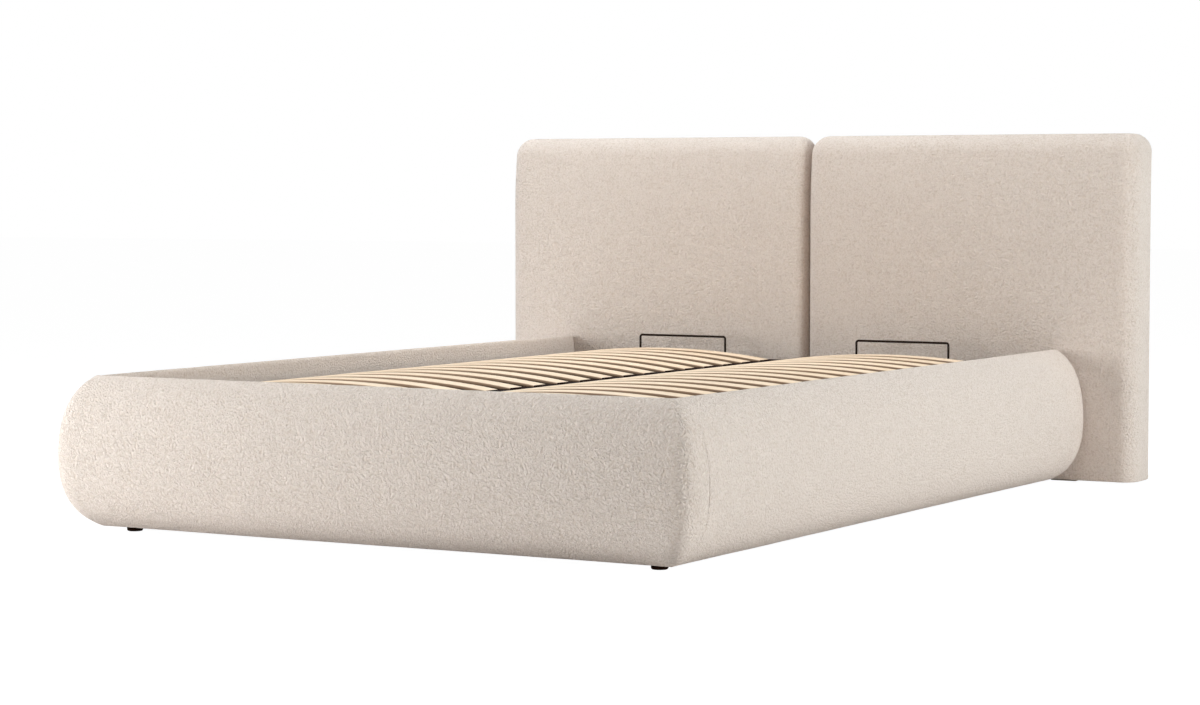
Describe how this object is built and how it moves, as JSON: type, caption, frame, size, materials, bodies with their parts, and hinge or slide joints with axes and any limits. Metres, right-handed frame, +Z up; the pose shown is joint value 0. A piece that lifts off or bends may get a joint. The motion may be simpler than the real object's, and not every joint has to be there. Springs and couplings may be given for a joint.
{
  "type": "ottoman bed",
  "caption": "Upholstered ottoman bed with rounded rails, a headboard of two padded panels and a lift-up base of sprung slats over a storage box.",
  "frame": {"origin": "on the floor under the middle of the bed", "axes": "+Z up, +Y from the foot end to the headboard, +X to the right seen from the foot end"},
  "size_m": [1.893, 2.352, 0.915],
  "materials": {
    "boucle_fabric": "matt looped weave",
    "birch": "clear satin lacquer",
    "timber": "sawn and sanded",
    "fibreboard": "smooth and matt",
    "black_steel": "satin powder coat",
    "polished_steel": "polished",
    "black_plastic": "satin moulded"
  },
  "bodies": {
    "bed_frame": {"left_side_rail_cover": "boucle_fabric", "left_headboard_cover": "boucle_fabric", "left_side_board": "timber", "left_headboard_board": "timber", "left_front_glide": "black_plastic", "left_floor_panel": "fibreboard", "left_hinge_plate": "black_steel", "right_side_rail_cover": "boucle_fabric", "right_headboard_cover": "boucle_fabric", "right_side_board": "timber", "right_headboard_board": "timber", "right_front_glide": "black_plastic", "right_floor_panel": "fibreboard", "right_hinge_plate": "black_steel", "footboard_cover": "boucle_fabric", "footboard_board": "timber", "centre_floor_beam": "timber"},
    "lift_base": {"lift_frame": "black_steel", "left_mattress_stop": "black_steel", "right_mattress_stop": "black_steel", "left_slat_01": "birch", "left_slat_02": "birch", "left_slat_03": "birch", "left_slat_04": "birch", "left_slat_05": "birch", "left_slat_06": "birch", "left_slat_07": "birch", "left_slat_08": "birch", "left_slat_09": "birch", "left_slat_10": "birch", "left_slat_11": "birch", "left_slat_12": "birch", "left_slat_13": "birch", "left_slat_14": "birch", "left_slat_15": "birch", "left_slat_16": "birch", "left_slat_17": "birch", "left_slat_18": "birch", "right_slat_01": "birch", "right_slat_02": "birch", "right_slat_03": "birch", "right_slat_04": "birch", "right_slat_05": "birch", "right_slat_06": "birch", "right_slat_07": "birch", "right_slat_08": "birch", "right_slat_09": "birch", "right_slat_10": "birch", "right_slat_11": "birch", "right_slat_12": "birch", "right_slat_13": "birch", "right_slat_14": "birch", "right_slat_15": "birch", "right_slat_16": "birch", "right_slat_17": "birch", "right_slat_18": "birch"},
    "left_strut_outer": {"left_strut_cylinder": "black_steel"},
    "left_strut_inner": {"left_strut_rod": "polished_steel"},
    "right_strut_outer": {"right_strut_cylinder": "black_steel"},
    "right_strut_inner": {"right_strut_rod": "polished_steel"}
  },
  "joints": [
    {"name": "base_lift", "type": "hinge", "parent": "bed_frame", "child": "lift_base", "pos_m": [0, 0.69, 0.235], "axis": [-1, 0, 0], "range_deg": [0, 40]},
    {"name": "left_strut_swing", "type": "hinge", "parent": "bed_frame", "child": "left_strut_outer", "pos_m": [-0.7115, 0.455, 0.105], "axis": [-1, 0, 0], "range_deg": [0, 45]},
    {"name": "left_strut_stroke", "type": "slide", "parent": "left_strut_outer", "child": "left_strut_inner", "axis": [0, -0.8964, 0.4432], "range_m": [0, 0.185]},
    {"name": "right_strut_swing", "type": "hinge", "parent": "bed_frame", "child": "right_strut_outer", "pos_m": [0.7115, 0.455, 0.105], "axis": [-1, 0, 0], "range_deg": [0, 45]},
    {"name": "right_strut_stroke", "type": "slide", "parent": "right_strut_outer", "child": "right_strut_inner", "axis": [0, -0.8964, 0.4432], "range_m": [0, 0.185]}
  ],
  "couplings": [
    {"joint": "left_strut_swing", "follows": "base_lift", "ratio": 1.1153},
    {"joint": "left_strut_stroke", "follows": "base_lift", "m_per_rad": 0.25718},
    {"joint": "right_strut_swing", "follows": "base_lift", "ratio": 1.1153},
    {"joint": "right_strut_stroke", "follows": "base_lift", "m_per_rad": 0.25718}
  ]
}
